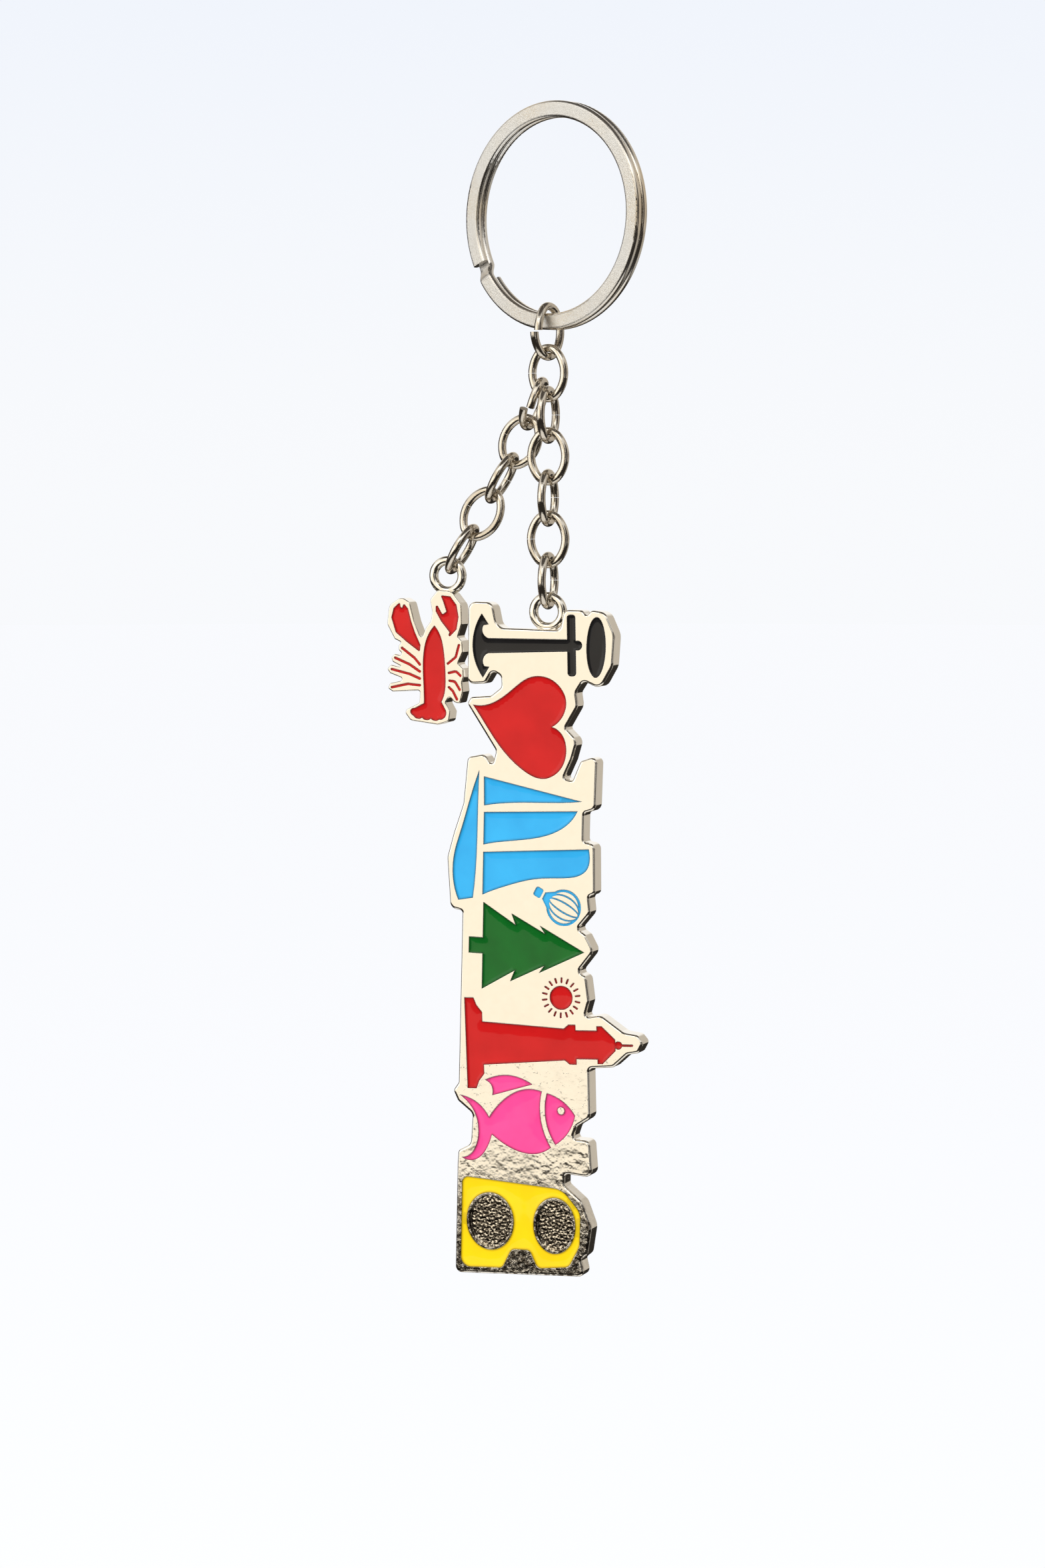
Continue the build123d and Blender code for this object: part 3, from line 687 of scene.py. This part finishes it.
# =====================================================================================
# Surroundings and lamps
# =====================================================================================
# Where the surroundings change, by the Y or Z of a direction of length 1
BACKDROP_RISE = (-0.02, 0.20)
BACKWARDS = (-0.15, 0.45)
OVERHEAD = (0.62, 0.82)
BELOW_LEVEL = (-0.195, -0.185)
STRAIGHT_DOWN = (-0.82, -0.70)

BACKDROP_LOW = (0.94, 0.953, 0.978)
BACKDROP_HIGH = (0.855, 0.896, 0.974)
LIGHTING_COLOUR = (0.95, 0.97, 1.0, 1)
LIGHTING_STRENGTH = 0.82

# What polished surfaces mirror: a room that is light in front, duller behind, and dark overhead and below
# level, but not straight down
ROOM_FRONT = (0.92, 0.90, 0.86)
ROOM_BACK = (0.56, 0.51, 0.44)
ROOM_OVERHEAD = (0.09, 0.08, 0.07)
ROOM_BELOW = (0.030, 0.026, 0.022)

# Patches on it, each laid over the ones before: the direction of the middle, the angles in degrees at which
# the patch starts to fade and ends, and its colour.
ROOM_PATCHES = [
    ((-0.35, 0.93, 0.30), 16, 30, (1.0, 0.98, 0.95)),     # white wall behind, on the left
    ((0.96, -0.34, 0.10), 20, 32, (0.05, 0.04, 0.035)),   # dark corner on the right
    ((0.36, -0.93, 0.02), 13, 20, (0.03, 0.026, 0.022)),  # dark gap in front, on the right
    ((-0.97, 0.10, 0.05), 18, 30, (0.06, 0.05, 0.045)),   # dark corner on the left
    ((-0.80, 0.60, 0.0), 11, 18, (0.05, 0.04, 0.035)),    # dark gap behind, on the left
    ((0.68, 0.73, -0.05), 8, 14, (0.05, 0.04, 0.035)),    # dark gap behind, on the right
    ((-0.86, -0.49, 0.12), 14, 22, (1.35, 1.33, 1.28)),   # bright wall in front, on the left
    ((0.10, 0.99, -0.05), 3, 9, (0.16, 0.14, 0.12)),      # small dark gap straight behind
    ((-0.40, -0.91, 0.22), 27, 34, (1.12, 1.02, 0.85)),   # cream card that the castings' faces mirror
    ((-0.62, -0.77, 0.14), 9, 13, (1.9, 1.85, 1.7)),      # bright spot on the card
    ((0.22, -0.80, 0.56), 7, 11, (2.4, 2.35, 2.25)),      # soft lamp above, on the right
    ((-0.34, -0.72, 0.61), 7, 11, (2.4, 2.3, 2.15)),      # soft lamp above, on the left
]
# A grey panel low behind on the right, laid over the dark below
LOW_PANEL = ((0.66, 0.69, -0.30), 13, 21, (0.46, 0.43, 0.38))


def mirrored_room(tree, direction):
    """Colour that polished surfaces mirror in each direction."""
    _, y, z = separated(tree, direction)

    def lay(shade, towards, inner, outer, colour):
        """Lays one patch over the shade."""
        near = along_direction(tree, direction, Vector(towards).normalized())
        fade = (math.cos(math.radians(outer)), math.cos(math.radians(inner)))
        return mix_colour(tree, spread(tree, near, fade, RISING, smooth=True), shade, colour)

    backwards = spread(tree, y, BACKWARDS, RISING, smooth=True)
    overhead = spread(tree, z, OVERHEAD, RISING, smooth=True)
    below_level = spread(tree, z, BELOW_LEVEL, FALLING, smooth=True)
    not_straight_down = spread(tree, z, STRAIGHT_DOWN, RISING, smooth=True)
    shade = mix_colour(tree, backwards, ROOM_FRONT, ROOM_BACK)
    shade = mix_colour(tree, overhead, shade, ROOM_OVERHEAD)
    for patch in ROOM_PATCHES:
        shade = lay(shade, *patch)
    shade = mix_colour(tree, product(tree, below_level, not_straight_down), shade, ROOM_BELOW)
    return lay(shade, *LOW_PANEL)


def studio_world():
    """A pale backdrop for the camera, even light on the object, and a room that only reflections see."""
    world = bpy.data.worlds.new("studio")
    bpy.context.scene.world = world
    world.use_nodes = True
    tree = world.node_tree
    tree.nodes.clear()
    output = tree.nodes.new("ShaderNodeOutputWorld")
    seen = tree.nodes.new("ShaderNodeBackground")
    lighting = tree.nodes.new("ShaderNodeBackground")
    reflected = tree.nodes.new("ShaderNodeBackground")
    lighting.inputs["Color"].default_value = LIGHTING_COLOUR
    lighting.inputs["Strength"].default_value = LIGHTING_STRENGTH
    direction = tree.nodes.new("ShaderNodeTexCoord").outputs["Generated"]
    _, _, z = separated(tree, direction)
    height = spread(tree, z, BACKDROP_RISE, RISING, smooth=True)
    tree.links.new(mix_colour(tree, height, BACKDROP_LOW, BACKDROP_HIGH), seen.inputs["Color"])
    tree.links.new(mirrored_room(tree, direction), reflected.inputs["Color"])

    ray = tree.nodes.new("ShaderNodeLightPath")
    off_camera = tree.nodes.new("ShaderNodeMixShader")
    tree.links.new(ray.outputs["Is Glossy Ray"], off_camera.inputs["Fac"])
    tree.links.new(lighting.outputs["Background"], off_camera.inputs[1])
    tree.links.new(reflected.outputs["Background"], off_camera.inputs[2])
    surface = tree.nodes.new("ShaderNodeMixShader")
    tree.links.new(ray.outputs["Is Camera Ray"], surface.inputs["Fac"])
    tree.links.new(off_camera.outputs["Shader"], surface.inputs[1])
    tree.links.new(seen.outputs["Background"], surface.inputs[2])
    tree.links.new(surface.outputs["Shader"], output.inputs["Surface"])


LAMP_TARGET = Vector((0, 0, -0.09))


def lamp(name, place, size, power, colour):
    """Square soft lamp that points at the keychain and isn't mirrored in it."""
    data = bpy.data.lights.new(name, "AREA")
    data.shape = "SQUARE"
    data.size = size
    data.energy = power
    data.color = colour
    light = bpy.data.objects.new(name, data)
    bpy.context.scene.collection.objects.link(light)
    light.location = place
    light.rotation_mode = "QUATERNION"
    light.rotation_quaternion = (LAMP_TARGET - Vector(place)).to_track_quat("-Z", "Y")
    light.visible_glossy = False


studio_world()
lamp("key", (-0.35, -0.75, 0.55), 0.35, 5.0, (1.0, 0.97, 0.93))
lamp("fill", (0.75, -0.35, 0.25), 0.45, 1.5, (0.95, 0.97, 1.0))
